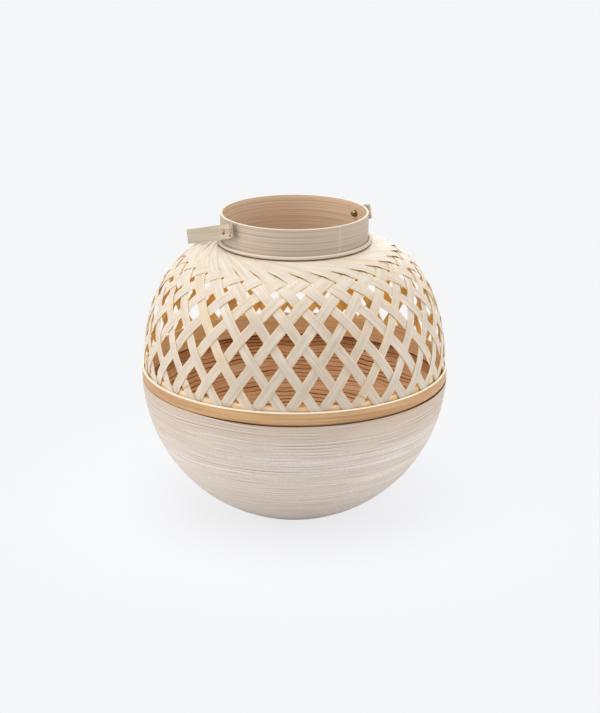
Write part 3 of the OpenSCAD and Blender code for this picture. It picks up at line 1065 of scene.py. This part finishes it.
# %% [markdown]
# ## Thirty strips
# Each strip is a copy of the flat one, laid on the dome and turned to its place. No two real
# strips are alike, so each gets a slightly different width, drifts a little from side to side
# and is cupped over its width. Where the stack opens into the weave the strips crowd together,
# so there they are left wider. The ends are cut off level behind the ring.

# %% Lay the strips
rng = random.Random(5)
end_z = ring_low.z + 0.6 * mm
cup = 0.03 * mm
sway_reach = 0.45 * mm
bends_per_metre = 14
width_range = (0.965, 1.02)
extra_width = 0.26
crowd_starts = (18, 34)
crowd_ends = (45, 63)


def crowding(length):
    """How much wider than usual a strip is, at a length along it."""
    turn = float(np.interp(abs(length), table_len, table_turn))
    rising = ease((turn - crowd_starts[0]) / (crowd_starts[1] - crowd_starts[0]))
    falling = ease((turn - crowd_ends[0]) / (crowd_ends[1] - crowd_ends[0]))
    return 1 + extra_width * rising * (1 - falling)


def lay_strip(number):
    """The flat strip with its UV map, laid on the dome, cut off and turned to its place."""
    strip = flat_strip.copy()
    grain_map = strip.loops.layers.uv.new("grain")
    for face in strip.faces:
        for loop in face.loops:
            loop[grain_map].uv = (loop.vert.co.x + number + 0.5, loop.vert.co.y)
    width = rng.uniform(*width_range)
    drift = rng.uniform(0, 100)
    frames = {}
    for vert in strip.verts:
        length, across, height = vert.co
        key = round(length, 6)
        if key not in frames:
            sway = sway_reach * noise.noise(Vector((drift, length * bends_per_metre, 0)))
            frames[key] = (*strip_frame(length), sway, width * crowding(length))
        middle, out, side, sway, wide = frames[key]
        across = across * wide + sway
        bow = cup * (1 - (across / (strip_w / 2)) ** 2)
        vert.co = middle + side * across + out * (height + bow)
    cut = bmesh.ops.bisect_plane(
        strip,
        geom=strip.verts[:] + strip.edges[:] + strip.faces[:],
        plane_co=(0, 0, end_z),
        plane_no=(0, 0, -1),
        clear_outer=True,
    )["geom_cut"]
    cut_edges = [item for item in cut if isinstance(item, bmesh.types.BMEdge)]
    bmesh.ops.edgenet_fill(strip, edges=cut_edges)
    turn = math.radians(weave_turn + number * 360 / strip_count)
    bmesh.ops.rotate(strip, cent=(0, 0, 0), matrix=Matrix.Rotation(turn, 3, "Z"), verts=strip.verts)
    return strip


for number in range(1, strip_count + 1):
    finish_piece(
        f"woven_strip_{number:02d}",
        lay_strip(number),
        "lantern",
        [f"weave_strip_{number:02d}"],
        [skin, pith_side, split_edge],
    )
flat_strip.free()

# %% [markdown]
# ## Neck: collar
# The collar is a wide slat bent round the neck. Outside it is limed to a grey beige, inside it
# is warm and bare, and fine level grain lines run round both. Its top edge is trimmed pale. Its
# lap shows as an upright line at the front right, where the shaved end of the slat is paler.

# %% Collar
collar_lap_at = 36
collar_in = collar_high.x - band_t
trimmed = (collar_high.z - 0.7 * mm, collar_high.z - 0.3 * mm, "#dbcfbf")
limed = bamboo(
    "limed_bamboo_slat",
    ("#9f8c77", "#c3b19e", "#d2c3b2"),
    fibre=0.7,
    streak=0.9,
    reach=220,
    edge=trimmed,
    roughness=0.6,
    relief=0.25,
)
bare_slat = bamboo(
    "bare_bamboo_slat",
    ("#bb9675", "#d2b598", "#dfc9b0"),
    fibre=1.0,
    streak=1.3,
    reach=220,
    edge=trimmed,
    roughness=0.6,
    relief=0.25,
)
shaved = bamboo("shaved_slat_end", ("#c2b19e", "#d3c3b1", "#dfd1c0"), fibre=1.0)
collar_finishes = [limed, bare_slat, shaved]
collar = bent_band(
    collar_high.x,
    collar_in,
    collar_low.z,
    collar_high.z,
    lap_at=collar_lap_at,
    lap=0.45 * mm,
    rounding=0.45 * mm,
)
split_faces(collar, collar_high.x - band_t * 0.7, collar_finishes.index(bare_slat))
for face in collar.faces:
    middle = face.calc_center_median()
    on_outside = math.hypot(middle.x, middle.y) > collar_high.x - band_t / 2
    if on_outside and 0 < azimuth(middle) - collar_lap_at < lap_taper:
        face.material_index = collar_finishes.index(shaved)
finish_piece(
    "collar_band", collar, "lantern", ["neck_collar"], collar_finishes
)

# %% [markdown]
# ## Neck: bead and keeper
# A cane bead covers the joint between collar and weave. It is pale, and its lower edge is
# painted brown as the warm shade beneath it. A plain keeper ring holds the weave from below.

# %% Bead and keeper
cane = bamboo(
    "split_cane",
    ("#bfae97", "#d9ccb9", "#eae1d4"),
    fibre=0.8,
    streak=2.0,
    # Painted shade: the brown lower edge stands for the warm shade beneath the bead.
    edge=(bead_low.z + 1.2 * mm, bead_low.z + 0.3 * mm, "#a5774d"),
)
bead_in = bead_high.x - bead_t
bead = bent_band(
    bead_high.x, bead_in, bead_low.z, bead_high.z, lap_at=200, lap=0.2 * mm, rounding=1.1 * mm
)
finish_piece("cane_bead", bead, "lantern", ["neck_bead"], [cane])

keeper_in = keeper_high.x - keeper_t
keeper = bent_band(
    keeper_high.x,
    keeper_in,
    keeper_low.z,
    keeper_high.z,
    lap_at=120,
    lap=0.3 * mm,
    rounding=0.6 * mm,
)
finish_piece("retaining_ring", keeper, "lantern", ["neck_keeper"], [ring_bark])

# %% [markdown]
# ## Softened copies of the small CAD parts
# The handle, its doublers, the screws, washers, nuts and brads have exact bores and shanks.
# Their CAD meshes are copied, the loose triangles merged and flat areas joined, and then every
# sharp edge is bevelled, as sanding or tumbling would do.

# %% Copy and soften a node
merge_reach = 0.002 * mm
flat_angle = math.radians(0.6)
sharp_angle = math.radians(35)


def softened(node, rounding):
    """A copy of a CAD node with its sharp edges rounded."""
    shape = bmesh.new()
    shape.from_mesh(frame["nodes"][node].data)
    bmesh.ops.remove_doubles(shape, verts=shape.verts, dist=merge_reach)
    bmesh.ops.dissolve_limit(
        shape, angle_limit=flat_angle, verts=shape.verts, edges=shape.edges
    )
    edges = [edge for edge in shape.edges if edge.calc_face_angle(0) > sharp_angle]
    bmesh.ops.bevel(
        shape,
        geom=edges,
        offset=rounding,
        segments=2,
        profile=0.5,
        affect="EDGES",
        material=-1,
        clamp_overlap=True,
    )
    for face in shape.faces:
        face.material_index = 0
    return shape


print("edges over", round(math.degrees(sharp_angle)), "degrees are rounded")

# %% [markdown]
# ## Handle
# The bail is one flat slat, steamed and bent to a U, with a short doubler under each screw
# head. Its grain follows its length, so across the grain is the slat's width. The handle lies
# tilted, and a Mapping node turns the coordinates with it. The doublers are warmer than the
# slat and scratched, with a dark line across them near the end.

# %% Handle and doublers
droop = math.radians(16.0)
tail_l = 16 * mm
dark_end_line = (2.3 * mm - tail_l, 0.55 * mm, "#6b3a20")
handle_turn = (tuple(pivot), (-droop, 0, pivot_turn))
slat = bamboo(
    "sanded_bamboo_slat",
    ("#a4957f", "#b6a991", "#bfb39d"),
    turn=handle_turn,
    fibre=1.1,
    streak=3.0,
    relief=0.15,
)
doubler_slat = bamboo(
    "sanded_bamboo_doubler",
    ("#a4886c", "#c6b094", "#d5c5af"),
    turn=handle_turn,
    fibre=0.9,
    streak=2.4,
    scars=0.9,
    stain=dark_end_line,
    relief=0.2,
)
bail = softened("handle_bail", 0.3 * mm)
finish_piece("bail_slat", bail, "handle", ["handle_bail"], [slat])
for side in ("near", "far"):
    node = f"handle_tab_{side}"
    doubler = softened(node, 0.2 * mm)
    finish_piece(f"doubler_{side}", doubler, "handle", [node], [doubler_slat])

# %% [markdown]
# ## Metals
# The hardware is turned brass that has gone dull and brown in its hollows, darker on the nuts,
# which nobody touches, and two small blued steel brads. The recess of each screw is painted
# near black, as the shade in it. The tarnish gathers in soft patches about 2.4 mm wide.

# %% Metals
tarnish_scale = 420.0


def metal(name, bright, dull, roughness):
    """A metal with patches of tarnish, which are duller in colour and gloss."""
    material, tree = new_material(name)
    place = add(tree, "ShaderNodeTexCoord").outputs["Object"]
    inputs = {"Vector": place, "Scale": tarnish_scale, "Detail": 3.0}
    patches = add(tree, "ShaderNodeTexNoise", inputs).outputs[0]
    colour = tint(tree, paint(bright), dull, (patches, 0.4, 0.65))
    rough = amount(tree, (patches, 0.4, 0.65, roughness, roughness + 0.2))
    body = add(
        tree,
        "ShaderNodeBsdfPrincipled",
        {"Base Color": colour, "Metallic": 1.0, "Roughness": rough},
    )
    add(tree, "ShaderNodeOutputMaterial", {"Surface": body.outputs[0]})
    return material


brass = metal("aged_brass", "#b9ab92", "#6a583f", 0.34)
dark_brass = metal("dark_brass", "#9a8558", "#46361f", 0.3)
steel = metal("blued_steel", "#4a3f36", "#2c2420", 0.5)
# Painted shade: the screw recesses are painted near black, as the shade in them.
recess_shade = metal("recess_painted_shade", "#33241a", "#1d1410", 0.8)
print("tarnish patches about", round(1000 / tarnish_scale, 1), "mm wide")

# %% [markdown]
# ## Screws, washers, nuts and brads
# The screw heads are domed with a cross recess. The recess is cut with a boolean, because a
# cross is awkward to inset into a round head. The boolean brings along the cutter's near-black
# material, the painted shade of the recess.

# %% Cut a cross into each screw head
cross_w = 3.8 * mm
cross_depth = 0.9 * mm
bar_share = 0.24


def cross_cutter(place, outward, up):
    """Two crossed bars, standing at place and reaching cross_depth into the head."""
    cutter = bmesh.new()
    basis = Matrix((outward.cross(up), up, outward)).transposed().to_4x4()
    for wide, high in ((1, bar_share), (bar_share, 1)):
        bar = bmesh.ops.create_cube(cutter, size=1)["verts"]
        size = (cross_w * wide, cross_w * high, 2 * cross_depth)
        bmesh.ops.scale(cutter, vec=size, verts=bar)
        bmesh.ops.transform(cutter, matrix=Matrix.Translation(place) @ basis, verts=bar)
    mesh = bpy.data.meshes.new("cross")
    cutter.to_mesh(mesh)
    cutter.free()
    mesh.materials.append(recess_shade)
    tool = bpy.data.objects.new("cross", mesh)
    collection.objects.link(tool)
    return tool


def cut_cross(screw, head_top, outward):
    """Cuts the recess into a finished screw."""
    tool = cross_cutter(head_top, outward, Vector((0, 0, 1)))
    cut = screw.modifiers.new("cross", "BOOLEAN")
    cut.object = tool
    cut.operation = "DIFFERENCE"
    cut.use_self = True
    cut.material_mode = "TRANSFER"
    solved = screw.evaluated_get(bpy.context.evaluated_depsgraph_get())
    screw.data = bpy.data.meshes.new_from_object(solved)
    screw.modifiers.clear()
    bpy.data.objects.remove(tool)


pivot_axis = Vector(swing["axis"]).normalized()
for side, sign in (("near", -1), ("far", 1)):
    node = f"pivot_screw_{side}"
    outward = pivot_axis * sign
    reaches = [(vert.co - pivot).dot(outward) for vert in frame["nodes"][node].data.vertices]
    head_top = pivot + outward * max(reaches)
    shape = softened(node, 0.12 * mm)
    screw = finish_piece(f"screw_{side}", shape, "lantern", [node], [brass])
    cut_cross(screw, head_top, outward)
    for kind, rounding, made_of in (("washer", 0.2 * mm, brass), ("nut", 0.25 * mm, dark_brass)):
        node = f"pivot_{kind}_{side}"
        shape = softened(node, rounding)
        finish_piece(f"{kind}_{side}", shape, "lantern", [node], [made_of])
brads = softened("handle_brads", 0.1 * mm)
finish_piece("brads", brads, "handle", ["handle_brads"], [steel])

# %% [markdown]
# ## Size of the dressed lantern
# The dressed lantern must be as big as the CAD model, no bigger. Both boxes are printed.

# %% Print both boxes
visual_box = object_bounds()
boxes = {
    "cad": [list(corner) for corner in cad_box],
    "visual": [list(corner) for corner in visual_box],
}
for name, (low, high) in boxes.items():
    print(name, [round(1000 * v, 2) for v in low], [round(1000 * v, 2) for v in high])
